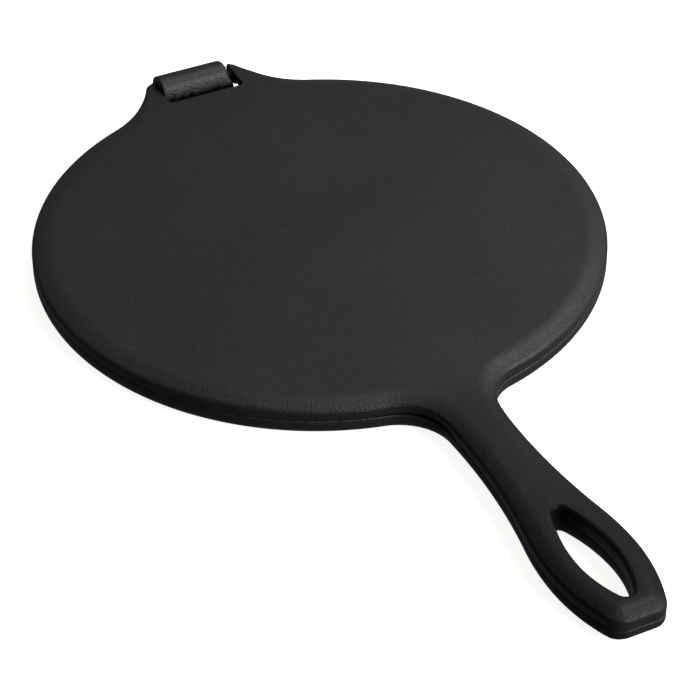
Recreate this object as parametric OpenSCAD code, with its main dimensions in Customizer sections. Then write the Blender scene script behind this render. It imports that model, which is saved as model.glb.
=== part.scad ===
// Round stovetop waffle iron: two cast-iron plates with handles, joined by a
// take-apart hinge (a bar cast across the upper plate lies under a hook cast on the lower one).
// Frame: millimetres, +Z up, X along the hinge, +Y towards the hinge, handles towards -Y.
// The origin is the centre of the flat underside of the lower plate.

/* [Plates] */
// Radius of both round plates
plate_r = 100; // [85:1:130]
// Height of the lower plate, underside to rim face
lower_h = 6.2; // [5:0.1:9]
// Height of the upper plate, rim face to top
upper_h = 5.4; // [5:0.1:9]
// Free height between the two rim faces when shut
seat_gap = 0.1; // [0:0.05:0.3]
// Radius of the upper plate's rounded shoulder
shoulder_r = 4.4; // [2:0.1:4.9]
// Radius of the lower plate's rounded bottom edge
heel_r = 4.3; // [2:0.1:4.9]

/* [Cooking faces] */
// Width of the flat rim around the sunk round baking face
rim_w = 10; // [7:0.5:20]
// Depth of the baking face below the rim face
baking_depth = 0.8; // [0.4:0.1:1.2]
// Distance between neighbouring grooves of the waffle grid
groove_pitch = 11; // [9:0.5:16]
// Width of a groove at its mouth
groove_w = 2.4; // [1.6:0.1:3]
// Depth of a groove below the baking face
groove_depth = 1.6; // [0.8:0.1:2]

/* [Handles] */
// Distance from the plate's edge to the handle's waist
waist_out = 26; // [23:0.5:33]
// Width of the handle at its waist
waist_w = 18.6; // [16:0.2:24]
// Distance from the plate's edge to the widest place of the handle
belly_out = 86.5; // [82:0.5:92]
// Width of the handle at its widest place
belly_w = 30.2; // [28:0.2:34]
// Radius of the handle's side on the way to its widest place
belly_rise_r = 90; // [80:1:120]
// Radius of the handle's side from its widest place to its end
belly_fall_r = 67; // [58:1:76]
// Distance from the plate's edge to the end of the handle
handle_out = 116; // [112:0.5:120]
// Radius of the two corners at the end of the handle
end_corner_r = 6; // [5.9:0.1:7]
// Radius of the hollow corner between plate and handle
root_r = 18; // [12:1:24]
// How far the rounded top edge of the upper handle reaches in from its side
handle_top_w = 1.5; // [1:0.1:4.4]
// How far the rounded bottom edge of the lower handle reaches in from its side
handle_under_w = 5; // [3:0.1:5.2]
// Height to which the underside of the lower handle curves up at its end
end_lift = 3.2; // [1:0.1:4]
// Radius of that curve
end_lift_r = 55; // [40:1:80]
// Distance from the plate's edge to the middle of the relief under the upper handle's root
relief_out = 7.5; // [5:0.5:11]
// Depth of that relief
relief_h = 1.6; // [0.4:0.1:2]
// Radius of that relief
relief_r = 45; // [40:1:70]

/* [Eye] */
// Distance from the plate's edge to the widest place of the eye
eye_out = 87.6; // [85:0.2:90]
// Width of the eye between its upright walls
eye_w = 13; // [10:0.2:13.4]
// Radius of the eye's sides on the way to its widest place
eye_rise_r = 55; // [45:1:70]
// Radius of the eye's sides from its widest place to its far end
eye_fall_r = 42; // [34:1:55]
// Radius of the eye's end nearer the plate
eye_near_r = 2.2; // [1.5:0.1:4]
// Radius of the eye's far end
eye_far_r = 2.6; // [1.5:0.1:4]
// Radius that rounds the eye's rim on top
eye_top_r = 1.5; // [0.5:0.1:3]
// Height of the flare that opens the eye downwards in the lower handle
eye_flare_h = 4.4; // [2:0.1:5]
// How far that flare reaches into the iron
eye_flare_w = 2.8; // [1:0.1:3]

/* [Hinge] */
// Distance from the plate's edge to the hinge axis
axis_out = 9.3; // [8.5:0.1:10.3]
// Height of the hinge axis above the upper plate's rim face
axis_rise = 2.8; // [2.6:0.1:3.4]
// Diameter of the bar cast across the ears
bar_d = 5; // [4.2:0.1:5.1]
// Radial running clearance between the bar and its hook
bar_clearance = 0.08; // [0.01:0.01:0.1]
// Thickness of the hook around the bar
hook_wall = 3.9; // [3:0.1:4.3]
// Width of the hook along the hinge
hook_w = 27; // [18:0.5:27]
// Shift of the hook from the middle of the notch, towards -X
hook_shift = 1.2; // [0:0.1:1.4]
// Depth to which the hook's free leg reaches below the hinge axis
hook_drop = 4.6; // [2:0.1:5]
// Thickness of the tongue that carries the hook
tongue_h = 4.6; // [3.5:0.1:5]
// Depth of the tongue's top below the lower plate's rim face
tongue_sink = 0.4; // [0.2:0.1:0.8]
// Width of the notch between the ears
notch_w = 30; // [28:0.5:34]
// Depth of the notch into the upper plate's edge
notch_in = 2.5; // [1.5:0.1:3]
// Distance from the plate's edge to the end of the ears
ear_out = 14; // [13.5:0.1:16]
// Half the width across both ears at their very end
ear_end_x = 17.8; // [17.7:0.1:20]
// Slope of the ears' outer sides, as the angle of their outward normal
ear_angle = 26; // [24:1:32]
// Radius of an ear's outer corner
ear_corner_r = 3; // [2.8:0.1:4]
// How far an ear's rounded edge reaches in from its side
ear_edge_w = 2.4; // [1.5:0.1:2.5]
// Radius of the hollow corner between plate and ear
ear_root_r = 42; // [34:1:52]
// Radius of the scallop under each ear, in front of the bar
scallop_r = 3.2; // [2:0.1:3.4]
// How far the scallop runs into an ear
scallop_w = 2.6; // [1:0.1:3]

/* [Hidden] */

iron = "#2b2929";
over = 1;                              // how far a cutting shape overshoots
overrun = 0.2;                         // how far a rounded edge's last facet runs past the flat face
fine = 96;                             // roundness of true cylinders
edge_steps = 4;                        // facets round a quarter-round edge
plate_steps = 36;                      // steps round half a plate
long_steps = 8;                        // steps along a long arc of a side
short_steps = 4;                       // steps round a corner
same_point = 0.01;                     // points nearer than this are one
handle_ease_in = 6;                    // the edge starts to change this far inside the plate's edge
handle_ease_out = 12;                  // and has its handle width this far outside it
ear_ease_in = 8;                       // the same start, at the ears
tongue_root = 14;                      // how far the tongue reaches in under the rim
scallop_z = -1.4;                      // height of the scallop's centre over the rim face
lift_sink = 0.1;                       // lets the curve of the end cross the flat underside
seam_turn = 30;                        // keeps the start of a round wall off the grooves

upper_z = lower_h + seat_gap;          // rim face of the upper plate
axis_z = upper_z + axis_rise;
bar_r = bar_d / 2;
hook_bore_r = bar_r + bar_clearance;
hook_r = hook_bore_r + hook_wall;

waist_y = plate_r + waist_out;
belly_y = plate_r + belly_out;
handle_end_y = plate_r + handle_out;
eye_y = plate_r + eye_out;
axis_y = plate_r + axis_out;
notch_y = plate_r - notch_in;
ear_end_y = plate_r + ear_out;
baking_r = plate_r - rim_w;

// Corners of the outline: centres of the arcs that make the plate, the ears and the handle.
waist_x = waist_w / 2;
belly_x = belly_w / 2;
rise_c = [belly_x - belly_rise_r, -belly_y];
fall_c = [belly_x - belly_fall_r, -belly_y];
// The waist arc touches the rising arc: this gives its radius.
waist_r = (pow(belly_x - waist_x, 2) + pow(belly_y - waist_y, 2)) / (2 * (belly_x - waist_x)) - belly_rise_r;
waist_c = [waist_x + waist_r, -waist_y];
corner_c = [
    fall_c.x + sqrt(pow(belly_fall_r - end_corner_r, 2) - pow(handle_end_y - end_corner_r - belly_y, 2)),
    end_corner_r - handle_end_y
];
root_c = meet([0, 0], plate_r + root_r, waist_c, waist_r - root_r);
ear_n = [cos(ear_angle), sin(ear_angle)];
ear_p = ear_n.x * ear_end_x + ear_n.y * ear_end_y;
ear_corner_c = [
    (ear_p - ear_corner_r - ear_n.y * (ear_end_y - ear_corner_r)) / ear_n.x,
    ear_end_y - ear_corner_r
];
ear_root_c = (ear_p + ear_root_r) * ear_n
    + sqrt(pow(plate_r + ear_root_r, 2) - pow(ear_p + ear_root_r, 2)) * [-ear_n.y, ear_n.x];

// The meeting point with the smaller y of two circles.
function meet(c1, r1, c2, r2) =
    let (d = norm(c2 - c1),
         u = (c2 - c1) / d,
         a = (r1 * r1 - r2 * r2 + d * d) / (2 * d),
         h = sqrt(r1 * r1 - a * a),
         p = c1 + a * u + h * [-u.y, u.x],
         q = c1 + a * u - h * [-u.y, u.x])
    p.y < q.y ? p : q;

function bearing(from, to) = atan2(to.y - from.y, to.x - from.x);

// Points of an arc with their outward normals; side is 1 on a bulge and -1 in a hollow.
function arc(c, r, a0, a1, steps, side = 1) = [
    for (i = [0:steps])
        let (a = a0 + (a1 - a0) * i / steps)
        [c.x + r * cos(a), c.y + r * sin(a), side * cos(a), side * sin(a)]
];

function mirrored(points) = [
    for (i = [len(points) - 1:-1:0])
        [-points[i][0], points[i][1], -points[i][2], points[i][3]]
];

// Right half of the handle and plate edge, from a bearing on the plate round to the handle's end.
function plate_and_handle(from) =
    let (root_a = bearing([0, 0], root_c),
         waist_a = bearing(waist_c, root_c),
         rise_a = bearing(rise_c, waist_c),
         fall_a = bearing(fall_c, corner_c))
    concat(
        arc([0, 0], plate_r, from, root_a, plate_steps),
        arc(root_c, root_r, root_a + 180, waist_a, long_steps, -1),
        arc(waist_c, waist_r, waist_a, rise_a + 180, long_steps, -1),
        arc(rise_c, belly_rise_r, rise_a, 0, short_steps),
        arc(fall_c, belly_fall_r, 0, fall_a, long_steps),
        arc(corner_c, end_corner_r, fall_a, -90, short_steps)
    );

function ears() = concat(
    arc(ear_corner_c, ear_corner_r, 90, ear_angle, short_steps),
    arc(ear_root_c, ear_root_r, ear_angle + 180, bearing([0, 0], ear_root_c) + 180, long_steps, -1)
);

// Neighbouring points that fall together are kept once.
function distinct(points) = [
    for (i = [0:len(points) - 1])
        let (q = points[(i + 1) % len(points)])
        if (norm([q[0] - points[i][0], q[1] - points[i][1]]) > same_point) points[i]
];

function upper_outline() =
    let (half = concat(ears(), plate_and_handle(bearing([0, 0], ear_root_c))))
    distinct(concat(half, mirrored(half)));

function lower_outline() =
    let (half = plate_and_handle(90))
    distinct(concat(half, mirrored(half)));

function eye_outline() =
    let (rise_c = [eye_w / 2 - eye_rise_r, -eye_y],
         fall_c = [eye_w / 2 - eye_fall_r, -eye_y],
         near_c = [0, -eye_y + sqrt(pow(eye_rise_r - eye_near_r, 2) - rise_c.x * rise_c.x)],
         far_c = [0, -eye_y - sqrt(pow(eye_fall_r - eye_far_r, 2) - fall_c.x * fall_c.x)],
         half = concat(
             arc(near_c, eye_near_r, 90, bearing(rise_c, near_c), short_steps),
             arc(rise_c, eye_rise_r, bearing(rise_c, near_c), 0, long_steps),
             arc(fall_c, eye_fall_r, 0, bearing(fall_c, far_c), long_steps),
             arc(far_c, eye_far_r, bearing(fall_c, far_c), -90, short_steps)))
    distinct(concat(half, mirrored(half)));

// A smooth step from 0 to 1 as t passes from a to b.
function ease(t, a, b) =
    let (u = min(1, max(0, (t - a) / (b - a))))
    u * u * (3 - 2 * u);

// Width of a rounded edge relative to its height r: 1 on the plate, eased to w on the handle and to
// ear_edge_w on the ears.
function edge_share(y, r, w) =
    1 - (1 - w / r) * ease(-y, plate_r - handle_ease_in, plate_r + handle_ease_out)
      - (1 - ear_edge_w / r) * ease(y, plate_r - ear_ease_in, axis_y);

// One ring of a rounded slab: the outline drawn in by d at height z.
function ring(outline, d, z, r, w) = [
    for (p = outline)
        let (inset = d * edge_share(p[1], r, w))
        [p[0] - p[2] * inset, p[1] - p[3] * inset, z]
];

// A closed solid through rings of equal length, given from bottom to top.
module stacked(rings) {
    n = len(rings[0]);
    m = len(rings);
    polyhedron(
        points = [for (r = rings) each r],
        faces = concat(
            [[for (i = [n - 1:-1:0]) i]],
            [for (j = [0:m - 2], i = [0:n - 1])
                [j * n + i, j * n + (i + 1) % n, (j + 1) * n + (i + 1) % n, (j + 1) * n + i]],
            [[for (i = [0:n - 1]) (m - 1) * n + i]]
        ),
        convexity = 8
    );
}

// A flat casting with an upright side and a quarter-round top edge, cut level at both faces.
module rounded_slab(outline, h, r, w) {
    last = 90 * (edge_steps - 1) / edge_steps;
    intersection() {
        stacked(concat(
            [ring(outline, 0, -over, r, w)],
            [for (k = [0:edge_steps - 1])
                let (a = 90 * k / edge_steps)
                ring(outline, r * (1 - cos(a)), h - r + r * sin(a), r, w)],
            [ring(outline, r * (1 + overrun * cos(last)), h + overrun * r * (1 - sin(last)), r, w)]
        ));
        translate([-belly_out - plate_r, -2 * handle_end_y, 0])
            cube([2 * (belly_out + plate_r), 4 * handle_end_y, h]);
    }
}

// The cutting shape of the eye through a slab of height h: upright walls that open at the top in a
// quarter round, rim_h high and rim_w wide.
module eye_cut(h, rim_h, rim_w) {
    outline = eye_outline();
    flare = function(d, z) [for (p = outline) [p[0] + p[2] * d, p[1] + p[3] * d, z]];
    stacked(concat(
        [flare(0, -over)],
        [for (k = [0:edge_steps])
            let (a = 90 * k / edge_steps)
            flare(rim_w * (1 - cos(a)), h - rim_h + rim_h * sin(a))],
        [flare(rim_w, h + over)]
    ));
}

// One V groove along Y at a given x, mouth at z = 0, ending at the edge of the baking face.
module groove(x) {
    reach = sqrt(pow(baking_r - groove_w, 2) - x * x);
    translate([x, 0, 0])
        rotate([90, 0, 0])
            linear_extrude(2 * reach, center = true)
                polygon([[-groove_w, groove_depth], [groove_w, groove_depth], [0, -groove_depth]]);
}

// What is cut from a rim face: the sunk round face and the grooves of the waffle grid.
module baking_cut() {
    lines = floor(baking_r / groove_pitch - 1 / 2);
    translate([0, 0, -baking_depth]) {
        rotate(seam_turn)
            cylinder(r = baking_r, h = baking_depth + over, $fn = 2 * fine);
        for (turn = [0, 90], i = [-lines:lines])
            rotate(turn) groove(i * groove_pitch);
    }
}

// The hook seen from +X: front leg, round top over the bar, free leg behind; y across, z up.
module hook_profile() {
    tongue_top = lower_h - tongue_sink;
    difference() {
        union() {
            translate([axis_y, axis_z])
                circle(hook_r, $fn = fine);
            translate([axis_y - hook_r, tongue_top - tongue_h])
                square([hook_r, axis_z - tongue_top + tongue_h]);
            translate([axis_y, axis_z - hook_drop])
                square([hook_r, hook_drop]);
            translate([plate_r - tongue_root, tongue_top - tongue_h])
                square([axis_out + tongue_root - hook_bore_r, tongue_h]);
        }
        translate([axis_y, axis_z])
            circle(hook_bore_r, $fn = fine);
        translate([axis_y - hook_bore_r, -over])
            square([2 * hook_bore_r, axis_z + over]);
    }
}

module hook() {
    translate([-hook_shift - hook_w / 2, 0, 0])
        rotate([90, 0, 90])
            linear_extrude(hook_w)
                hook_profile();
}

// The space between the ears, open to the back.
module notch_cut() {
    translate([-notch_w / 2, notch_y, -over])
        cube([notch_w, ear_end_y, upper_h + 2 * over]);
}

// A cylinder along the hinge, centred on x = 0.
module along_hinge(r, w) {
    rotate([0, 90, 0])
        cylinder(r = r, h = w, center = true, $fn = fine);
}

// The relief under the root of the upper handle.
module root_relief() {
    translate([0, -plate_r - relief_out, relief_h - relief_r])
        rotate([0, 90, 0])
            cylinder(r = relief_r, h = 3 * belly_w, center = true, $fn = 4 * fine);
}

// What is cut away so that the underside of the lower handle curves up at its end.
module end_lift_cut() {
    run = sqrt(pow(end_lift_r, 2) - pow(end_lift_r - end_lift, 2));
    translate([-belly_w, 0, 0])
        rotate([90, 0, 90])
            linear_extrude(2 * belly_w)
                difference() {
                    translate([-handle_end_y - over, -over])
                        square([run + over, end_lift + 2 * over]);
                    translate([run - handle_end_y, end_lift_r - lift_sink])
                        circle(end_lift_r, $fn = 4 * fine);
                }
}

module upper_plate() {
    color(iron)
        translate([0, 0, upper_z])
            union() {
                difference() {
                    rounded_slab(upper_outline(), upper_h, shoulder_r, handle_top_w);
                    eye_cut(upper_h, eye_top_r, eye_top_r);
                    mirror([0, 0, 1]) baking_cut();
                    notch_cut();
                    translate([0, axis_y - bar_r - scallop_r, scallop_z])
                        along_hinge(scallop_r, notch_w + 2 * scallop_w);
                    root_relief();
                }
                translate([0, axis_y, axis_rise])
                    along_hinge(bar_r, notch_w + 2 * scallop_w);
            }
}

module lower_plate() {
    color(iron)
        union() {
            difference() {
                translate([0, 0, lower_h])
                    difference() {
                        mirror([0, 0, 1])
                            difference() {
                                rounded_slab(lower_outline(), lower_h, heel_r, handle_under_w);
                                eye_cut(lower_h, eye_flare_h, eye_flare_w);
                            }
                        baking_cut();
                    }
                end_lift_cut();
            }
            hook();
        }
}

upper_plate();
lower_plate();
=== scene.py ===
# Stovetop waffle iron: two oil-seasoned iron castings that hang in each other.
# Sizes are millimetres in the part's frame: Z up, X along the hinge, Y towards the hinge.
# The meshes are written in metres.
from math import atan2, ceil, cos, degrees, pi, radians, sin, sqrt

import bmesh
import bpy
import numpy as np
from mathutils import Matrix, Vector, geometry


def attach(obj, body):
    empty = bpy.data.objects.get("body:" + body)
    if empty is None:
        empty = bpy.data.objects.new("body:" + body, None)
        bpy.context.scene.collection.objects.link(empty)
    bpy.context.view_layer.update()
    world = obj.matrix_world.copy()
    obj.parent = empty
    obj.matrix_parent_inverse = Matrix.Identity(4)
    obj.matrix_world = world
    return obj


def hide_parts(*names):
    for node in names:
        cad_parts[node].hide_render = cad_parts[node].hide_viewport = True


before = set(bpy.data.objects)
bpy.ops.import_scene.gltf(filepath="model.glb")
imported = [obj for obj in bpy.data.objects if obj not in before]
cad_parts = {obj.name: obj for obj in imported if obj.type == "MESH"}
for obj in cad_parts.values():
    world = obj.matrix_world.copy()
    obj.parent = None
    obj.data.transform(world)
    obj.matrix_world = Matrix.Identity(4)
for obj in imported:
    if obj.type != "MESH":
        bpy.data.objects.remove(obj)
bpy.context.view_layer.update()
print("frame loaded")

mm = 0.001

# both round plates; edges are (how far in from the side, how far down from the face)
plate = dict(
    radius=99.98,  # just inside the solids, whose arcs have facets
    lowerHeight=6.2, upperHeight=5.4, gap=0.1,
    shoulder=(8.0, 3.0),  # upper plate's sloping shoulder
    fallShare=0.57,  # share of that drop that the slope takes
    cornerShare=0.14,  # share of its width that the tight corner takes
    heel=4.3,  # lower plate's rounded bottom edge
    partingEdge=0.5, wornEdge=(0.3, 0.9, 1.0, 0.7, 0.15))  # rounding at the rim face, and its wear


# plan curves: rows of x, y and the outward normal

def arcRows(centre, radius, fromDeg, toDeg, side=1, step=1.0):
    # centre + radius (cos a, sin a); side is 1 on a bulge and -1 in a hollow
    count = max(3, int(ceil(abs(radians(toDeg - fromDeg)) * radius / step)))
    a = np.radians(np.linspace(fromDeg, toDeg, count + 1))
    return np.stack([centre[0] + radius * np.cos(a), centre[1] + radius * np.sin(a),
                     side * np.cos(a), side * np.sin(a)], axis=1)


def lineRows(start, end, normal, step=1.0):
    # start + t (end - start), one normal all along
    count = max(1, int(ceil(np.hypot(end[0] - start[0], end[1] - start[1]) / step)))
    t = np.linspace(0, 1, count + 1)[:, None]
    points = (1 - t) * np.array(start) + t * np.array(end)
    return np.hstack([points, np.tile(normal, (count + 1, 1))])


def bearing(a, b):
    # direction from a to b, in degrees
    return degrees(atan2(b[1] - a[1], b[0] - a[0]))


def touch(c1, r1, c2, r2):
    # of the two points at r1 from one centre and r2 from the other, the one with the smaller y
    d = sqrt((c2[0] - c1[0]) ** 2 + (c2[1] - c1[1]) ** 2)
    u = ((c2[0] - c1[0]) / d, (c2[1] - c1[1]) / d)
    along = (r1 * r1 - r2 * r2 + d * d) / (2 * d)
    across = sqrt(r1 * r1 - along * along)
    pairs = [(c1[0] + along * u[0] - s * across * u[1], c1[1] + along * u[1] + s * across * u[0])
             for s in (1, -1)]
    return min(pairs, key=lambda point: point[1])


grip = dict(
    waistY=126.0, waistHalf=9.3, bellyY=186.5, bellyHalf=15.1,  # narrowest and widest places
    riseRadius=90.0, fallRadius=67.0,  # sides before and after the widest place
    endY=216.0, cornerRadius=6.0, rootRadius=18.0)


def handleHalf():
    # right side of the handle: root fillet, waist, swelling side, falling side, corner, end
    g = grip
    rise = (g["bellyHalf"] - g["riseRadius"], -g["bellyY"])
    fall = (g["bellyHalf"] - g["fallRadius"], -g["bellyY"])
    over = g["bellyHalf"] - g["waistHalf"]
    waistRadius = (over ** 2 + (g["bellyY"] - g["waistY"]) ** 2) / (2 * over) - g["riseRadius"]
    waist = (g["waistHalf"] + waistRadius, -g["waistY"])
    drop = g["endY"] - g["cornerRadius"] - g["bellyY"]
    corner = (fall[0] + sqrt((g["fallRadius"] - g["cornerRadius"]) ** 2 - drop ** 2),
              g["cornerRadius"] - g["endY"])
    root = touch((0, 0), plate["radius"] + g["rootRadius"], waist, waistRadius - g["rootRadius"])
    rootAt = bearing((0, 0), root)
    riseAt = bearing(rise, waist)
    fallAt = bearing(fall, corner)
    waistAt = bearing(waist, root) % 360
    rows = [arcRows(root, g["rootRadius"], rootAt + 180, waistAt, -1),
            arcRows(waist, waistRadius, waistAt, riseAt + 180, -1, 1.6),
            arcRows(rise, g["riseRadius"], riseAt, 0, 1, 1.6),
            arcRows(fall, g["fallRadius"], 0, fallAt, 1, 1.4),
            arcRows(corner, g["cornerRadius"], fallAt, -90, 1, 0.6),
            lineRows((corner[0], -g["endY"]), (0, -g["endY"]), (0, -1))]
    return rootAt, rows


ears = dict(
    notchHalf=15.0, notchY=97.5, innerCorner=1.6, tipCorner=0.8,  # notch between the ears
    endY=114.0, endX=17.8, slope=26.0, cornerRadius=3.0, rootRadius=42.0,
    edge=2.2, notchEdge=0.5,  # roundings of the top edge
    scallopRadius=3.2, scallopZ=-1.4, scallopReach=2.6,  # hollow under each ear in front of the bar
    scallopY=95, scallopFade=(-0.8, 0.4))


def earHalf():
    # from the middle of the notch's front edge along the ear to the plate's edge
    e = ears
    slope = radians(e["slope"])
    n = (cos(slope), sin(slope))
    reach = n[0] * e["endX"] + n[1] * e["endY"]
    out = e["cornerRadius"]
    cornerY = e["endY"] - out
    corner = ((reach - out - n[1] * cornerY) / n[0], cornerY)
    r = e["rootRadius"]
    along = sqrt((plate["radius"] + r) ** 2 - (reach + r) ** 2)
    root = ((reach + r) * n[0] - along * n[1], (reach + r) * n[1] + along * n[0])
    rootAt = bearing((0, 0), root)
    w, y, ri, rt = e["notchHalf"], e["notchY"], e["innerCorner"], e["tipCorner"]
    tipX = w + rt
    sideStart = (corner[0] + out * n[0], corner[1] + out * n[1])
    sideEnd = (root[0] - r * n[0], root[1] - r * n[1])
    rows = [lineRows((0, y), (w - ri, y), (0, 1)),
            arcRows((w - ri, y + ri), ri, -90, 0, -1, 0.4),
            lineRows((w, y + ri), (w, e["endY"] - rt), (-1, 0)),
            arcRows((tipX, e["endY"] - rt), rt, 180, 90, 1, 0.3),
            lineRows((tipX, e["endY"]), (corner[0], e["endY"]), (0, 1)),
            arcRows(corner, out, 90, e["slope"], 1, 0.4),
            lineRows(sideStart, sideEnd, n),
            arcRows(root, r, e["slope"] + 180, rootAt + 180, -1, 0.9)]
    return rootAt, rows


def apart(rows, least=0.02):
    # of rows that fall together only the last is kept
    gap = np.hypot(*(np.roll(rows, -1, axis=0) - rows)[:, :2].T)
    return rows[gap > least]


def closedPlan(half):
    # a half plan and its mirror image as one loop
    half = np.vstack(half)
    return apart(np.vstack([half, half[::-1] * np.array([-1, 1, -1, 1])]))


eye = dict(
    y=187.6, halfWidth=6.5, riseRadius=55.0, fallRadius=42.0, nearRadius=2.2, farRadius=2.6,
    topRim=(1.5, 1.5), flare=(2.8, 4.4),  # rounding above and widening below
    partingEdge=0.12)


def eyePlan():
    # a drop with two rounded ends; its normals point into the iron
    e = eye
    rise = (e["halfWidth"] - e["riseRadius"], -e["y"])
    fall = (e["halfWidth"] - e["fallRadius"], -e["y"])
    near = (0, sqrt((e["riseRadius"] - e["nearRadius"]) ** 2 - rise[0] ** 2) - e["y"])
    far = (0, -sqrt((e["fallRadius"] - e["farRadius"]) ** 2 - fall[0] ** 2) - e["y"])
    nearAt, farAt = bearing(rise, near), bearing(fall, far)
    return closedPlan([arcRows(near, e["nearRadius"], 90, nearAt, 1, 0.4),
                       arcRows(rise, e["riseRadius"], nearAt, 0, 1, 1.0),
                       arcRows(fall, e["fallRadius"], 0, farAt, 1, 1.0),
                       arcRows(far, e["farRadius"], farAt, -90, 1, 0.4)])


rootAt, handleRows = handleHalf()
earAt, earRows = earHalf()
upperRim = arcRows((0, 0), plate["radius"], earAt, rootAt, 1, 1.2)
lowerRim = arcRows((0, 0), plate["radius"], 90, rootAt, 1, 1.2)
upperPlan = closedPlan(earRows + [upperRim] + handleRows)
lowerPlan = closedPlan([lowerRim] + handleRows)


# numbers over whole arrays of points

def insideLoops(points, loops):
    # even-odd rule over all loops at once
    hits = np.zeros(len(points), int)
    for loop in loops:
        x1, y1 = loop[:, 0][:, None], loop[:, 1][:, None]
        x2, y2 = np.roll(loop[:, 0], -1)[:, None], np.roll(loop[:, 1], -1)[:, None]
        px, py = points[:, 0][None], points[:, 1][None]
        cross = (y1 > py) != (y2 > py)
        with np.errstate(divide="ignore", invalid="ignore"):
            at = x1 + (py - y1) * (x2 - x1) / (y2 - y1)
        hits += (cross & (px < at)).sum(axis=0)
    return hits % 2 == 1


def nearestDistance(points, border):
    # distance from each point to the nearest point of the border
    best = np.full(len(points), 1e9)
    for part in np.array_split(border, max(1, len(border) // 64)):
        d = np.hypot(points[:, 0][:, None] - part[:, 0], points[:, 1][:, None] - part[:, 1])
        best = np.minimum(best, d.min(axis=1))
    return best


def ease(t, a, b):
    # smooth step from 0 at a to 1 at b
    u = np.clip((t - a) / (b - a), 0, 1)
    return u * u * (3 - 2 * u)


def smoothAlong(rows, values, reach):
    # mean of a value along a closed plan, weighted by exp(-(distance / reach)^2)
    xy = rows[:, :2]
    step = np.hypot(*(np.roll(xy, -1, axis=0) - xy).T)
    place = np.concatenate([[0], np.cumsum(step)[:-1]])
    gap = np.abs(place[:, None] - place[None])
    gap = np.minimum(gap, step.sum() - gap)
    weight = np.exp(-(gap / reach) ** 2) * step[None]
    return (weight * values[None]).sum(axis=1) / weight.sum(axis=1)


def lumps(points, size, seed, waves=14):
    # sum of plane waves of about `size` mm in random directions, mostly within -1..1
    rng = np.random.default_rng(seed)
    way = rng.normal(size=(waves, 3))
    way /= np.linalg.norm(way, axis=1)[:, None]
    way *= 2 * pi / (size * rng.uniform(0.7, 1.5, waves))[:, None]
    return np.sin(points @ way.T + rng.uniform(0, 2 * pi, waves)).sum(axis=-1) / sqrt(waves)


class Shell:
    # collects vertices in mm, faces and a wear value per vertex; shared edges are welded at the end
    def __init__(self):
        self.points, self.faces, self.worn, self.count = [], [], [], 0

    def add(self, points, faces, worn=0.0):
        points = np.asarray(points, float)
        self.points.append(points)
        self.faces += (np.asarray(faces) + self.count).tolist()
        self.worn.append(np.broadcast_to(worn, len(points)))
        self.count += len(points)

    def strip(self, rings, worn=None):
        # closed loops of equal length joined by quads; wear is given per loop
        rings = np.asarray(rings)
        m, n = rings.shape[:2]
        j, i = np.meshgrid(np.arange(m - 1), np.arange(n), indexing="ij")
        k = (i + 1) % n
        quads = np.stack([j * n + i, (j + 1) * n + i, (j + 1) * n + k, j * n + k], axis=-1)
        worn = np.zeros(m) if worn is None else np.asarray(worn, float)
        self.add(rings.reshape(-1, 3), quads.reshape(-1, 4), np.repeat(worn, n))

    def fill(self, loops, height, spacing=3.0, keepOut=1.0):
        # face inside loops[0] and outside the others, with inner points at z = height(x, y)
        flatLoops = [np.asarray(loop)[:, :2] for loop in loops]
        edges, start = [], 0
        for loop in flatLoops:
            n = len(loop)
            edges.append(np.stack([start + np.arange(n), start + (np.arange(n) + 1) % n], axis=1))
            start += n
        border = np.vstack(loops)
        low, high = border[:, :2].min(axis=0), border[:, :2].max(axis=0)
        gx, gy = np.meshgrid(*(np.arange(low[k], high[k], spacing) for k in (0, 1)))
        inner = np.stack([gx.ravel(), gy.ravel()], axis=1)
        inner = inner[insideLoops(inner, flatLoops)]
        inner = inner[nearestDistance(inner, border) > keepOut]
        flat = np.vstack([border[:, :2], inner])
        z = np.concatenate([border[:, 2], height(inner[:, 0], inner[:, 1])])
        out = geometry.delaunay_2d_cdt([Vector(p) for p in flat.tolist()],
                                       np.vstack(edges).tolist(), [], 0, 1e-6)
        source = np.array([origin[0] for origin in out[3]])
        tris = source[np.array([t for t in out[2] if len(t) == 3])]
        tris = tris[insideLoops(flat[tris].mean(axis=1), flatLoops)]
        self.add(np.column_stack([flat, z]), tris)

    def make(self, name, surface, weld=0.004, sharp=38):
        # one welded closed mesh that faces outwards, with its wear, roughness and painted shade per
        # point
        mesh = bpy.data.meshes.new(name)
        mesh.from_pydata((np.vstack(self.points) * mm).tolist(), [], self.faces)
        self.store(mesh, "worn", np.concatenate(self.worn))
        work = bmesh.new()
        work.from_mesh(mesh)
        bmesh.ops.remove_doubles(work, verts=work.verts, dist=weld * mm)
        bmesh.ops.dissolve_degenerate(work, dist=1e-7, edges=work.edges)
        loose = [v for v in work.verts if not v.link_faces]
        bmesh.ops.delete(work, geom=loose, context="VERTS")
        bmesh.ops.recalc_face_normals(work, faces=work.faces)
        print(name, "triangles", sum(len(f.verts) - 2 for f in work.faces),
              "open edges", sum(1 for e in work.edges if not e.is_manifold),
              "cm3", round(work.calc_volume(signed=True) * 1e6, 1))
        work.to_mesh(mesh)
        work.free()
        mesh.shade_smooth()
        mesh.set_sharp_from_angle(angle=radians(sharp))
        count = len(mesh.vertices)
        place, normal = np.zeros(count * 3), np.zeros(count * 3)
        mesh.vertices.foreach_get("co", place)
        mesh.vertices.foreach_get("normal", normal)
        # roughness and painted shade per point, from the surface function
        rough, soot = surface(place.reshape(-1, 3) / mm, normal.reshape(-1, 3))
        self.store(mesh, "castRough", rough)
        self.store(mesh, "soot", soot)
        thing = bpy.data.objects.new(name, mesh)
        bpy.context.scene.collection.objects.link(thing)
        return thing

    def store(self, mesh, name, values):
        mesh.attributes.new(name, "FLOAT", "POINT").data.foreach_set("value", values)


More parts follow.
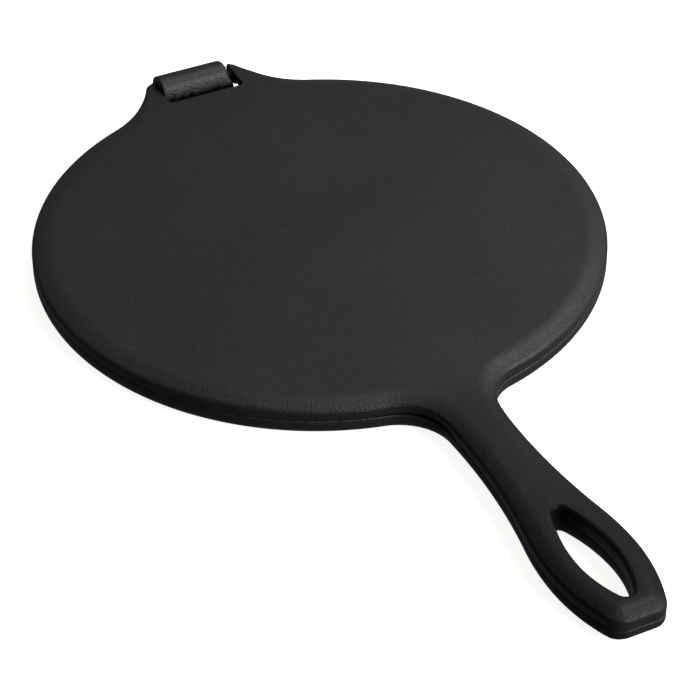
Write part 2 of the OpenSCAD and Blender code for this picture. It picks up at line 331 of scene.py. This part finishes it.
baking = dict(
    radius=90.0, depth=0.8, lip=0.5,  # sunk round face, rounding of its edge at the rim
    pitch=11.0, halfWidth=1.2, grooveDepth=1.6,  # waffle grid
    roundFrom=0.75, roundSlope=0.9, topSoft=(-0.05, 0.3),  # a groove's round bottom and soft edges
    fade=(3.2, 1.4),  # the grooves run out this far before the edge
    columns=(-1.15, -0.8, -0.45, -0.15, 0.0, 0.15, 0.45, 0.8, 1.15))  # mesh lines, in half widths


def grooveProfile(t):
    # depth share of a V groove with a rounded bottom and rounded upper edges, t in half widths
    v = np.clip(1 - np.abs(t), 0, 1)
    start = baking["roundFrom"]
    past = v - start
    bottom = start + past * (1 - 0.5 * past / (1 - start)) * baking["roundSlope"]
    return np.where(v > start, bottom, v) * ease(v, *baking["topSoft"])


def bakingFace(shell, z, sign):
    # z - sign (depth + groove depth * the deeper of the grooves along x and along y), in a circle
    b = baking
    half = int(b["radius"] / b["pitch"] - 0.5)
    lines = np.arange(-half, half + 1)
    share = np.array(b["columns"]) * b["halfWidth"]
    at = (lines[:, None] * b["pitch"] + share[None]).ravel()
    pads = (np.arange(-half - 1, half + 1) + 0.5) * b["pitch"]
    at = np.unique(np.round(np.concatenate([at, pads, [-b["radius"] - 1, b["radius"] + 1]]), 4))
    gx, gy = np.meshgrid(at, at, indexing="ij")
    reach = np.hypot(gx, gy)
    inside = reach < b["radius"] - 1e-6
    n = len(at)
    i, j = np.meshgrid(np.arange(n - 1), np.arange(n - 1), indexing="ij")
    i, j = i.ravel(), j.ravel()
    corners = np.stack([i * n + j, (i + 1) * n + j, (i + 1) * n + j + 1, i * n + j + 1], axis=1)
    corners = corners[inside.ravel()[corners].any(axis=1)]
    # points outside the circle are drawn in to it
    snap = np.where(inside, 1.0, b["radius"] / np.maximum(reach, 1e-9))
    x, y = gx * snap, gy * snap

    def nearestLine(v):
        line = np.clip(np.round(v / b["pitch"]), -half, half) * b["pitch"]
        return np.abs(v - line) / b["halfWidth"]
    cut = np.maximum(grooveProfile(nearestLine(gx)), grooveProfile(nearestLine(gy)))
    cut *= 1 - ease(np.hypot(x, y), b["radius"] - b["fade"][0], b["radius"] - b["fade"][1])
    height = z - sign * (b["depth"] + b["grooveDepth"] * cut)
    # each cell is split along the crease that runs out from the nearest crossing
    middleX, middleY = gx.ravel()[corners].mean(axis=1), gy.ravel()[corners].mean(axis=1)
    offX = middleX - np.round(middleX / b["pitch"]) * b["pitch"]
    offY = middleY - np.round(middleY / b["pitch"]) * b["pitch"]
    same = ((offX * offY) > 0)[:, None]
    first = np.where(same, corners[:, [0, 1, 2]], corners[:, [0, 1, 3]])
    second = np.where(same, corners[:, [0, 2, 3]], corners[:, [1, 2, 3]])
    tris = np.vstack([first, second])
    points = np.stack([x.ravel(), y.ravel(), height.ravel()], axis=1)
    used, again = np.unique(tris, return_inverse=True)
    points = points[used]
    shell.add(points, again.reshape(tris.shape))
    # its upright edge, with a small rounding at the rim
    edge = points[np.abs(np.hypot(points[:, 0], points[:, 1]) - b["radius"]) < 1e-6]
    edge = edge[np.argsort(np.arctan2(edge[:, 1], edge[:, 0]))]
    turn = edge[:, :2] / b["radius"]
    lip = b["lip"]
    rings = [edge]
    for s in np.linspace(0, pi / 2, 5):
        out, lipZ = lip * (1 - cos(s)), z + sign * (-lip + lip * sin(s))
        rings.append(np.column_stack([edge[:, :2] + turn * out, np.full(len(edge), lipZ)]))
    shell.strip(rings)
    return rings[-1]


# hollow under the root of the upper handle, which leaves a dark gap between the castings
relief = dict(y=-107.5, height=1.6, radius=45.0, beyondY=-90)


def upperRaised(x, y):
    # how far the upper casting's rim side is raised: a shallow arch under the handle's root and
    # a scallop under each ear in front of the bar
    arch = np.sqrt(np.maximum(relief["radius"] ** 2 - (y - relief["y"]) ** 2, 0)) \
        - relief["radius"] + relief["height"]
    arch = np.where(y < relief["beyondY"], np.maximum(arch, 0), 0)
    e = ears
    off = y - (hinge["y"] - hinge["barRadius"] - e["scallopRadius"])
    bow = np.sqrt(np.maximum(e["scallopRadius"] ** 2 - off ** 2, 0)) + e["scallopZ"]
    limit = e["notchHalf"] + e["scallopReach"]
    bow = np.where((y > e["scallopY"]) & (np.abs(x) < limit + 1), np.maximum(bow, 0), 0)
    fade = ease(np.abs(x), limit + e["scallopFade"][0], limit + e["scallopFade"][1])
    return np.maximum(arch, bow * (1 - fade))


def notRaised(x, y):
    # the lower casting's rim side is flat: zero everywhere
    return np.zeros_like(x)


gripEdge = dict(
    top=(5.6, 2.7), under=(5.0, 4.3),  # top edge of the upper handle, bottom edge of the lower one
    crown=0.45, crownReach=10.0, crownY=(96, 118),  # the upper handle's top falls to its edges
    # the lower handle's underside curves up at its end
    liftHeight=3.2, liftRadius=55.0, liftSink=0.1, liftSoft=0.5, liftY=(199, 208))


def upperCap(x, y, depth):
    # the handle is crowned: it falls off with the square of the nearness to its edge
    g = gripEdge
    off = nearestDistance(np.stack([x, y], axis=1), upperPlan) / g["crownReach"]
    off = np.clip(1 - off, 0, 1)
    return depth - g["crown"] * off ** 2 * ease(-y, *g["crownY"]) * depth / plate["upperHeight"]


def lowerCap(x, y, depth):
    # the lower handle's underside curves up at its end on a circle: soft minimum of the two
    # surfaces, half the sum less half the root of the squared difference and the softness
    g = gripEdge
    square = g["liftRadius"] ** 2
    run = sqrt(square - (g["liftRadius"] - g["liftHeight"]) ** 2)
    off = np.minimum(y - (run - grip["endY"]), 0)
    rise = g["liftRadius"] - g["liftSink"] - np.sqrt(square - np.maximum(off, -run - 2) ** 2)
    limit = plate["lowerHeight"] - rise
    soft = g["liftSoft"] * ease(-y, *g["liftY"])
    bent = 0.5 * (depth + limit - np.sqrt((depth - limit) ** 2 + soft ** 2))
    return np.where(y < -g["liftY"][0], bent, depth)


def bevel(inset, sharpness):
    # height share of an edge at an inset share: a quarter ellipse, or where sharpness is 1 a slope
    # that falls off with the square of the nearness and ends in a tight quarter ellipse
    p = plate
    whole = np.sqrt(np.maximum(1 - (1 - inset) ** 2, 0))
    small = np.sqrt(np.maximum(1 - np.clip(1 - inset / p["cornerShare"], 0, 1) ** 2, 0))
    sloped = 1 - p["fallShare"] * (1 - inset) ** 2 - (1 - p["fallShare"]) * (1 - small)
    return whole * (1 - sharpness) + sloped * sharpness


def casting(plan, height, edge, sharpness, raised, cap, eyeRim, wear, z0, facing):
    # rings round the plan: small rounding at the rim face, upright wall, then the bevelled edge;
    # z = z0 + facing * depth, where depth is counted from the rim face
    shell = Shell()

    def place(points):
        points = np.array(points, float)
        points[..., 2] = z0 + facing * points[..., 2]
        return points

    def ring(rows, inset, depth):
        px, py = rows[:, 0] - rows[:, 2] * inset, rows[:, 1] - rows[:, 3] * inset
        low = raised(px, py)
        return np.stack([px, py, cap(px, py, low + (height - low) * depth / height)], axis=1)
    width, tall = edge
    small, worn = plate["partingEdge"], plate["wornEdge"]
    rings = [ring(plan, np.minimum(small * (1 - sin(s)), width * 0.4), small * (1 - cos(s)))
             for s in np.linspace(0, pi / 2, len(worn))]
    insets = np.concatenate([1 - np.cos(np.linspace(0, 0.52, 9)), np.linspace(0.18, 1, 13)])
    rings += [ring(plan, width * u, height - tall + tall * bevel(u, sharpness)) for u in insets]
    rings = place(rings)
    shell.strip(rings, [share * wear for share in worn] + [0.0] * len(insets))
    hole = eyePlan() * np.array([1, 1, -1, -1])
    small, (width, tall) = eye["partingEdge"], eyeRim
    eyeRings = [ring(hole, small * (1 - sin(s)), small * (1 - cos(s)))
                for s in np.linspace(0, pi / 2, 3)]
    eyeRings += [ring(hole, width * (1 - cos(s)), height - tall + tall * sin(s))
                 for s in np.linspace(0, pi / 2, 10)]
    eyeRings = place(eyeRings)
    shell.strip(eyeRings)
    rim = bakingFace(shell, z0, -facing)
    shell.fill([rings[-1], eyeRings[-1]],
               lambda px, py: z0 + facing * cap(px, py, np.full(len(px), height)))
    shell.fill([rings[0], eyeRings[0], rim],
               lambda px, py: z0 + facing * raised(px, py), 2.0, 0.8)
    return shell


# where an edge's size changes along the plan, and over what length the notch's edge blends in
stretches = dict(
    grip=(plate["radius"] - 6, plate["radius"] + 12),
    ear=(plate["radius"] - 8, plate["radius"] + 7),
    roundY=(92, 106), blend=1.2)


def edgeAlong(rows, onPlate, onGrip, onEar):
    # an edge's size along the plan, eased from one stretch to the next
    y = rows[:, 1]
    value = onPlate + (onGrip - onPlate) * ease(-y, *stretches["grip"])
    return value + (onEar - onPlate) * ease(y, *stretches["ear"])


def notchEdge(rows, value, inNotch):
    # the sides of the notch between the ears have only a small rounding
    x, y, nx, ny = rows.T
    inReach = (np.abs(x) <= ears["notchHalf"] + ears["tipCorner"] + 0.01) \
        & (y > ears["notchY"] - 0.1) & (y < ears["endY"] - 0.2)
    facesNotch = (nx * x < 0) | (ny > 0.99)
    return smoothAlong(rows, np.where(inReach & facesNotch, inNotch, value), stretches["blend"])


hinge = dict(
    y=109.3, z=9.1, barRadius=2.5, boreRadius=2.58, wall=3.9, xLow=-14.7, xHigh=12.3,
    drop=4.6, outerCorner=1.2, innerCorner=0.9,  # free leg's length below the axis, its corners
    tongueHeight=4.6, tongueSink=0.4, tongueRoot=14.0, fillet=2.0,
    boreEdge=0.4, endEdge=(0.6, 1.8),  # roundings of the ends: at the bore, outside left and right
    outside=(1.5, 3.0), outsideZ=(6.0, 7.5),  # where the outer skin begins, off the bore and in z
    flare=1.6, flareZ=3.4, flareLength=4.6,  # the front leg widens, from this far above the axis
    lumpDepth=0.1, lumpSizes=(2.6, 1.1), lumpLimits=(0.2, 2.0), calmZ=(3.0, 5.5))


def fromHinge(y, z):
    # distance from the hinge's axis
    return np.hypot(y - hinge["y"], z - hinge["z"])


def barAcross(shell):
    # round bar (x, y + r cos a, z + r sin a) between the ears, its ends inside them
    r, half = hinge["barRadius"], ears["notchHalf"] + ears["scallopReach"]
    xs, a = np.linspace(-half, half, 60), np.linspace(0, 2 * pi, 49)[:-1]
    gx, ga = np.meshgrid(xs, a, indexing="ij")
    rings = np.stack([gx, hinge["y"] + r * np.cos(ga), hinge["z"] + r * np.sin(ga)], axis=-1)
    shell.strip(rings)
    n = len(a)
    fan = np.stack([np.full(n, n), np.arange(n), (np.arange(n) + 1) % n], axis=1)
    for ring in (rings[0], rings[-1]):
        shell.add(np.vstack([ring, ring.mean(axis=0)]), fan)


def hookOutline():
    # side view (y, z) in lines and arcs: tongue, front leg, round top over the bar, free leg,
    # bore, back to the tongue
    h = hinge
    bore, ro, ri, f = h["boreRadius"], h["outerCorner"], h["innerCorner"], h["fillet"]
    y, z, out = h["y"], h["z"], bore + h["wall"]
    top = plate["lowerHeight"] - h["tongueSink"]
    low, legEnd = top - h["tongueHeight"], z - h["drop"]
    start, front = plate["radius"] - h["tongueRoot"], y - out
    return apart(np.vstack([
        lineRows((start, top), (front - f, top), (0, 1), 1.2),
        arcRows((front - f, top + f), f, -90, 0, -1, 0.4),
        lineRows((front, top + f), (front, z), (-1, 0), 0.5),
        arcRows((y, z), out, 180, 0, 1, 0.4),
        lineRows((y + out, z), (y + out, legEnd + ro), (1, 0), 0.5),
        arcRows((y + out - ro, legEnd + ro), ro, 0, -90, 1, 0.3),
        lineRows((y + out - ro, legEnd), (y + bore + ri, legEnd), (0, -1), 0.6),
        arcRows((y + bore + ri, legEnd + ri), ri, -90, -180, 1, 0.25),
        lineRows((y + bore, legEnd + ri), (y + bore, z), (-1, 0), 0.6),
        arcRows((y, z), bore, 0, 180, -1, 0.5),
        lineRows((y - bore, z), (y - bore, low + ro), (1, 0), 0.6),
        arcRows((y - bore - ro, low + ro), ro, 0, -90, 1, 0.3),
        lineRows((y - bore - ro, low), (start, low), (0, -1), 1.2),
        lineRows((start, low), (start, top), (-1, 0), 1.2)]))


def castHook(shell):
    # the side view carried along x, rounded at both ends, its outside sunk in lumps of the sand
    # mould: half the depth less two sums of waves, calmer on top
    h = hinge
    y, z, ny, nz = hookOutline().T
    outside = ease(fromHinge(y, z) - h["boreRadius"], *h["outside"]) * ease(z, *h["outsideZ"])
    left, right = (h["boreEdge"] + (r - h["boreEdge"]) * outside for r in h["endEdge"])
    wide = h["flare"] * ease(h["z"] + h["flareZ"] - z, 0.0, h["flareLength"]) * (y < h["y"])
    quarter = np.linspace(0, pi / 2, 7)
    loops = [(h["xLow"] + left * (1 - cos(s)), left * (1 - sin(s))) for s in quarter]
    low, high = h["xLow"] + left, h["xHigh"] + wide - right
    loops += [(low + (high - low) * t, 0 * y) for t in np.linspace(0, 1, 84)[1:-1]]
    loops += [(h["xHigh"] + wide - right * (1 - cos(s)), right * (1 - sin(s)))
              for s in quarter[::-1]]
    loops = np.array([np.stack([x, y - ny * d, z - nz * d], axis=1) for x, d in loops])
    coarse, fine = h["lumpSizes"]
    sink = 0.5 - 0.3 * lumps(loops, coarse, 5) - 0.2 * lumps(loops, fine, 8)
    sink *= 1 - 0.6 * ease(z - h["z"], *h["calmZ"])
    sink = np.clip(sink, *h["lumpLimits"]) * h["lumpDepth"] * outside
    loops -= np.stack([np.zeros_like(sink), ny * sink, nz * sink], axis=-1)
    shell.strip(loops)
    for loop in (loops[0], loops[-1]):
        side = Shell()
        side.fill([loop[:, [1, 2, 0]]], lambda a, b: np.full(len(a), loop[:, 0].mean()), 1.2, 0.4)
        shell.add(side.points[0][:, [2, 0, 1]], side.faces)


upperEdge = [notchEdge(upperPlan, edgeAlong(upperPlan, onPlate, onGrip, ears["edge"]),
                       ears["notchEdge"])
             for onPlate, onGrip in zip(plate["shoulder"], gripEdge["top"])]
sharpness = notchEdge(upperPlan, 1 - ease(upperPlan[:, 1], *stretches["roundY"]), 0.0)
upperShell = casting(upperPlan, plate["upperHeight"], upperEdge, sharpness, upperRaised, upperCap,
                     eye["topRim"], 0.2, plate["lowerHeight"] + plate["gap"], 1)
barAcross(upperShell)
print("upper casting meshed")

lowerEdge = [edgeAlong(lowerPlan, plate["heel"], onGrip, plate["heel"])
             for onGrip in gripEdge["under"]]
lowerShell = casting(lowerPlan, plate["lowerHeight"], lowerEdge, 0.0, notRaised, lowerCap,
                     eye["flare"], 1.0, plate["lowerHeight"], -1)
castHook(lowerShell)
print("lower casting meshed")


# roughness left by the sand: on flat faces, added on tilted ones, and on the hook's front and top
sand = dict(flat=0.15, tilted=0.45, tilt=(0.003, 0.06),
            front=0.85, topLess=0.55, topTilt=(0.45, 0.8), hookY=(100.5, 102.5), hookZ=(5.9, 7.0))
# painted shade, put where shade falls: in the hinge gap, under the hook, in the eye and along the
# handles; pairs of numbers are where it fades in
shadeZones = dict(
    bore=(0.2, 1.2), tongueY=(96.0, 99.0), tongueZ=(8.6, 10.4), tongueLumps=(3.0, 0.5),
    lowerGrip=0.55, lowerGripY=(112, 135), lowerEndLess=0.5,
    notchSide=0.6, notchFront=0.4, barSkin=0.05, steep=0.5,  # what counts as notch, bar and wall
    eye=(0.9, 1.8), eyeThin=0.15, eyeThick=0.7, eyeY=(-178, -170),
    upperRoot=0.35, upperRootY=(92, 112), upperGrip=0.3, upperGripY=(120, 195),
    upperEndLess=0.45, wallShare=0.35, wallTilt=(0.1, 0.6), endY=(208, 213))


def sandRough(normals):
    # flat faces are smoother than all that tilts away from level
    return sand["flat"] + sand["tilted"] * ease(1 - np.abs(normals[:, 2]), *sand["tilt"])


def lowerSurface(points, normals):
    # roughness: the hook's front is as it left the mould, its top is smoother;
    # painted shade: full in the bore and on the tongue under the hook, lighter along the handle
    y, z = points.T[1:]
    onHook = ease(y, *sand["hookY"]) * ease(z, *sand["hookZ"])
    mould = sand["front"] - sand["topLess"] * ease(normals[:, 2], *sand["topTilt"])
    # painted shade inside the bore, a recess
    near, far = shadeZones["bore"]
    inBore = 1 - ease(fromHinge(y, z), hinge["boreRadius"] + near, hinge["boreRadius"] + far)
    # painted shadow on the tongue below the barrel, where it meets the notch's front edge, under a
    # lumpy line
    size, height = shadeZones["tongueLumps"]
    shade = z + height * lumps(points, size, 12)
    onTongue = ease(y, *shadeZones["tongueY"]) * (1 - ease(shade, *shadeZones["tongueZ"])) * (y < hinge["y"])
    # painted shade along the lower handle, less at its end
    alongGrip = shadeZones["lowerGrip"] * ease(-y, *shadeZones["lowerGripY"]) \
        * (1 - shadeZones["lowerEndLess"] * ease(-y, *shadeZones["endY"]))
    rough = sandRough(normals) * (1 - onHook) + mould * onHook
    return rough, np.maximum(np.maximum(inBore, onTongue), alongGrip)


def upperSurface(points, normals):
    # painted shade: full on the bar and the steep walls of the notch, strong at the eye's near end,
    # faint along the handle
    x, y, z = points.T
    # painted shade on the bar and on the steep walls in the notch between the ears
    inNotch = (np.abs(x) < ears["notchHalf"] + shadeZones["notchSide"]) \
        & (y > ears["notchY"] - shadeZones["notchFront"])
    onBar = fromHinge(y, z) < hinge["barRadius"] + shadeZones["barSkin"]
    notchShade = (inNotch & (onBar | (normals[:, 2] < shadeZones["steep"]))).astype(float)
    # painted shade in the eye, strongest at its near end
    nearEye = 1 - ease(nearestDistance(points[:, :2], eyePlan()), *shadeZones["eye"])
    inEye = nearEye * (shadeZones["eyeThin"] + shadeZones["eyeThick"] * ease(y, *shadeZones["eyeY"]))
    # painted shade along the upper handle, less at its end and on its steep walls
    alongGrip = (shadeZones["upperRoot"] * ease(-y, *shadeZones["upperRootY"])
                 + shadeZones["upperGrip"] * ease(-y, *shadeZones["upperGripY"])) \
        * (1 - shadeZones["upperEndLess"] * ease(-y, *shadeZones["endY"]))
    wall = shadeZones["wallShare"]
    alongGrip *= wall + (1 - wall) * ease(normals[:, 2], *shadeZones["wallTilt"])
    return sandRough(normals), np.maximum(np.maximum(notchShade, inEye), alongGrip)


upperIron = upperShell.make("upper_casting", upperSurface)
lowerIron = lowerShell.make("lower_casting", lowerSurface)
for thing, node, body in ((upperIron, "upper_plate", "upper"), (lowerIron, "lower_plate", "lower")):
    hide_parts(node)
    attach(thing, body)


def linear(hexColour):
    # the sRGB curve undone: c / 12.92 up to 0.04045, and ((c + 0.055) / 1.055)^2.4 above it
    value = [int(hexColour[i:i + 2], 16) / 255 for i in (1, 3, 5)]
    value = [c / 12.92 if c <= 0.04045 else ((c + 0.055) / 1.055) ** 2.4 for c in value]
    return (*value, 1.0)


def addNode(tree, kind, settings=None, links=None):
    # one node: settings by attribute or socket, a ramp's stops as pairs of place and colour or
    # grey, and links as {input: (node, output)}
    node = tree.nodes.new(kind)
    for key, value in (settings or {}).items():
        if key == "stops":
            band = node.color_ramp.elements
            while len(band) < len(value):
                band.new(0.5)
            for stop, (at, tone) in zip(band, value):
                stop.position = at
                stop.color = linear(tone) if isinstance(tone, str) else (tone, tone, tone, 1)
        elif isinstance(key, str) and hasattr(node, key):
            setattr(node, key, value)
        else:
            node.inputs[key].default_value = value
    for key, (source, output) in (links or {}).items():
        tree.links.new(source.outputs[output], node.inputs[key])
    return node


iron = dict(
    dark="#1e1d1c", mid="#21201f", light="#252423",  # burnt-on oil, uneven over a hand's width
    # the last colour below is painted shade, laid in the hinge, the eye and along the handles
    worn="#33312f", speck="#57534f", soot="#0b0a0a",
    cloudMm=45.0,  # patches of thicker oil
    clumpMm=3.0,  # clumps of moulding sand
    grainMm=0.7,  # sand grain, really about 0.25 mm: too fine to show, so it is drawn coarser
    toneStops=(0.3, 0.5, 0.7),  # where the three tones lie in the clouds
    grainStops=((0.3, 0.4), (0.7, 0.6)), grainShare=0.7,  # greys laid over the tones
    wornStops=((0.42, 0.0), (0.6, 1.0)),  # wear shows on some clumps only
    speckMm=4.0, speckSize=0.05, speckLess=0.55,  # cell, speck's radius in cells, cells without one
    shine=(0.5, 0.04), ior=1.5,  # specular level from unshaded to under full painted shade
    clumpRange=(0.35, 0.65), roughness=(0.4, 0.48),  # satin, a little rougher on the clumps
    fineBump=0.0005, fineStrength=0.9,  # grain in metres, its strength on the roughest surface
    coarseBump=0.0003, coarseStrength=0.55)  # clumps likewise


def castIron(name):
    # sand-cast iron under burnt-on oil: near-black and satin, finely grained, rubbed bare in a thin
    # line along the parting edges, with a few tiny bright specks, and near-black painted shade
    # where the mesh gives it
    material = bpy.data.materials.new(name)
    material.use_nodes = True
    tree = material.node_tree
    tree.nodes.clear()
    place = (addNode(tree, "ShaderNodeTexCoord"), "Object")
    rough, worn, soot = (
        (addNode(tree, "ShaderNodeAttribute", {"attribute_name": key}), "Fac")
        for key in ("castRough", "worn", "soot"))
    cloud, clump, grain = (
        (addNode(tree, "ShaderNodeTexNoise",
                 {"Scale": 1 / (iron[size] * mm), "Detail": detail, "Roughness": roughness},
                 {"Vector": place}), "Fac")
        for size, detail, roughness in
        (("cloudMm", 3, 0.5), ("clumpMm", 4, 0.6), ("grainMm", 3, 0.6)))
    # slow changes of tone with the grain laid over them
    tones = (iron["dark"], iron["mid"], iron["light"])
    tone = addNode(tree, "ShaderNodeValToRGB",
                   {"stops": list(zip(iron["toneStops"], tones))}, {0: cloud})
    fine = addNode(tree, "ShaderNodeValToRGB", {"stops": iron["grainStops"]}, {0: grain})
    colour = addNode(tree, "ShaderNodeMix",
                     {"data_type": "RGBA", "blend_type": "OVERLAY", 0: iron["grainShare"]},
                     {6: (tone, 0), 7: (fine, 0)})
    # bare metal in broken stretches of the parting edges
    broken = addNode(tree, "ShaderNodeValToRGB", {"stops": iron["wornStops"]}, {0: clump})
    wear = addNode(tree, "ShaderNodeMath", {"operation": "MULTIPLY"}, {0: worn, 1: (broken, 0)})
    rubbed = addNode(tree, "ShaderNodeMix", {"data_type": "RGBA", 7: linear(iron["worn"])},
                     {0: (wear, 0), 6: (colour, 2)})
    # a speck in the middle of some cells
    cells = addNode(tree, "ShaderNodeTexVoronoi", {"Scale": 1 / (iron["speckMm"] * mm)},
                    {"Vector": place})
    near = addNode(tree, "ShaderNodeMath", {"operation": "LESS_THAN", 1: iron["speckSize"]},
                   {0: (cells, "Distance")})
    lot = addNode(tree, "ShaderNodeSeparateColor", None, {"Color": (cells, "Color")})
    chosen = addNode(tree, "ShaderNodeMath", {"operation": "GREATER_THAN", 1: iron["speckLess"]},
                     {0: (lot, "Red")})
    speck = addNode(tree, "ShaderNodeMath", {"operation": "MULTIPLY"},
                    {0: (near, 0), 1: (chosen, 0)})
    specked = addNode(tree, "ShaderNodeMix", {"data_type": "RGBA", 7: linear(iron["speck"])},
                      {0: (speck, 0), 6: (rubbed, 2)})
    # painted shade, near black, in the hinge, the eye and along the handles, which also takes the
    # shine away
    shadedColour = addNode(tree, "ShaderNodeMix", {"data_type": "RGBA", 7: linear(iron["soot"])},
                      {0: soot, 6: (specked, 2)})
    shine = addNode(tree, "ShaderNodeMapRange",
                    {"To Min": iron["shine"][0], "To Max": iron["shine"][1]}, {"Value": soot})
    gloss = addNode(tree, "ShaderNodeMapRange",
                    {"From Min": iron["clumpRange"][0], "From Max": iron["clumpRange"][1],
                     "To Min": iron["roughness"][0], "To Max": iron["roughness"][1]},
                    {"Value": clump})
    # bumps grow with the cast roughness of the surface
    fineStrength, coarseStrength = (
        (addNode(tree, "ShaderNodeMath", {"operation": "MULTIPLY", 1: iron[key]}, {0: rough}), 0)
        for key in ("fineStrength", "coarseStrength"))
    fineBump = addNode(tree, "ShaderNodeBump", {"Distance": iron["fineBump"]},
                       {"Height": grain, "Strength": fineStrength})
    coarseBump = addNode(tree, "ShaderNodeBump", {"Distance": iron["coarseBump"]},
                         {"Height": clump, "Strength": coarseStrength,
                          "Normal": (fineBump, "Normal")})
    shader = addNode(tree, "ShaderNodeBsdfPrincipled", {"IOR": iron["ior"]},
                     {"Base Color": (shadedColour, 2), "Roughness": (gloss, "Result"),
                      "Specular IOR Level": (shine, "Result"), "Normal": (coarseBump, "Normal")})
    addNode(tree, "ShaderNodeOutputMaterial", None, {"Surface": (shader, "BSDF")})
    return material


seasoned = castIron("seasoned_cast_iron")
for thing in (upperIron, lowerIron):
    thing.data.materials.append(seasoned)
print("materials made")

# camera: degrees, mm, and a focal length in pixels of a frame 700 pixels wide
view = dict(azimuth=-26.01, elevation=37.84, roll=-0.41, distance=901.88, focalPixels=2572.55,
            shiftX=10.45, shiftY=-33.57, frameWidth=700, sensorWidth=36)


def setCamera():
    # orbit about the plate's centre: back, right and up, then a small roll and a sideways step
    a, e, r = (radians(view[k]) for k in ("azimuth", "elevation", "roll"))
    back = Vector((sin(a) * cos(e), -cos(a) * cos(e), sin(e)))
    right = Vector((cos(a), sin(a), 0))
    up = back.cross(right)
    turnedRight = right * cos(r) + up * sin(r)
    turnedUp = up * cos(r) - right * sin(r)
    place = (back * view["distance"] + turnedRight * view["shiftX"]
             + turnedUp * view["shiftY"]) * mm
    data = bpy.data.cameras.new("camera")
    data.sensor_fit = "HORIZONTAL"
    data.sensor_width = view["sensorWidth"]
    data.lens = view["focalPixels"] / view["frameWidth"] * view["sensorWidth"]
    data.clip_start, data.clip_end = 0.01, 20
    camera = bpy.data.objects.new("camera", data)
    camera.matrix_world = Matrix((
        (turnedRight.x, turnedUp.x, back.x, place.x),
        (turnedRight.y, turnedUp.y, back.y, place.y),
        (turnedRight.z, turnedUp.z, back.z, place.z),
        (0, 0, 0, 1)))
    bpy.context.scene.collection.objects.link(camera)
    bpy.context.scene.camera = camera


setCamera()

studio = dict(
    floorZ=-0.0002, floorSize=8.0, floorColour="#f7f6f4", floorRoughness=0.9, floorGlow=0.96,
    worldColour="#ffffff", highStrength=0.15, lowStrength=0.17, horizon=(-0.05, 0.15),
    sideShare=0.54, meanShare=0.79,
    # soft boxes: bearing and height in degrees, distance and size in metres, watts
    boxes={"front_box": (-52, 34, 2.2, (1.8, 1.2), 50),
           "right_box": (20, 55, 2.2, (1.2, 1.2), 14)})


def softBox(name, azimuth, elevation, distance, size, power):
    # an area light that looks at the plate's centre: distance * (cos a cos e, sin a cos e, sin e)
    a, e = radians(azimuth), radians(elevation)
    place = Vector((cos(a) * cos(e), sin(a) * cos(e), sin(e))) * distance
    data = bpy.data.lights.new(name, "AREA")
    data.shape = "RECTANGLE"
    data.size, data.size_y = size
    data.energy = power
    lamp = bpy.data.objects.new(name, data)
    lamp.location = place
    lamp.rotation_euler = (-place).to_track_quat("-Z", "Y").to_euler()
    bpy.context.scene.collection.objects.link(lamp)


def setFloor():
    # a flat sheet of white paper: one square of side floorSize
    half, z = studio["floorSize"] / 2, studio["floorZ"]
    mesh = bpy.data.meshes.new("floor")
    mesh.from_pydata([(-half, -half, z), (half, -half, z), (half, half, z), (-half, half, z)],
                     [], [(0, 1, 2, 3)])
    floor = bpy.data.objects.new("floor", mesh)
    bpy.context.scene.collection.objects.link(floor)
    material = bpy.data.materials.new("pale_paper_sweep")
    material.use_nodes = True
    shader = material.node_tree.nodes["Principled BSDF"]
    shader.inputs["Base Color"].default_value = linear(studio["floorColour"])
    shader.inputs["Roughness"].default_value = studio["floorRoughness"]
    # lit from below like a light table, so that the shadows on it stay faint
    shader.inputs["Emission Color"].default_value = linear(studio["floorColour"])
    shader.inputs["Emission Strength"].default_value = studio["floorGlow"]
    mesh.materials.append(material)
    # the iron doesn't mirror the floor, as in a picture taken over a light table
    floor.visible_diffuse = False
    floor.visible_glossy = False


def setWorld():
    # even light, much stronger from +X than from -X: strength by height * (side share * X + mean)
    world = bpy.data.worlds.new("studio")
    world.use_nodes = True
    tree = world.node_tree
    background = tree.nodes["Background"]
    background.inputs["Color"].default_value = linear(studio["worldColour"])
    way = addNode(tree, "ShaderNodeSeparateXYZ", None,
                  {0: (addNode(tree, "ShaderNodeTexCoord"), "Generated")})
    rise = addNode(tree, "ShaderNodeMapRange",
                   {"From Min": studio["horizon"][0], "From Max": studio["horizon"][1],
                    "To Min": studio["lowStrength"], "To Max": studio["highStrength"]},
                   {"Value": (way, "Z")})
    side = addNode(tree, "ShaderNodeMath",
                   {"operation": "MULTIPLY_ADD", 1: studio["sideShare"], 2: studio["meanShare"]},
                   {0: (way, "X")})
    strength = addNode(tree, "ShaderNodeMath", {"operation": "MULTIPLY"},
                       {0: (rise, "Result"), 1: (side, 0)})
    tree.links.new(strength.outputs[0], background.inputs["Strength"])
    bpy.context.scene.world = world
    bpy.context.scene.view_settings.view_transform = "Standard"


setFloor()
setWorld()
for name, values in studio["boxes"].items():
    softBox(name, *values)
print("studio set")
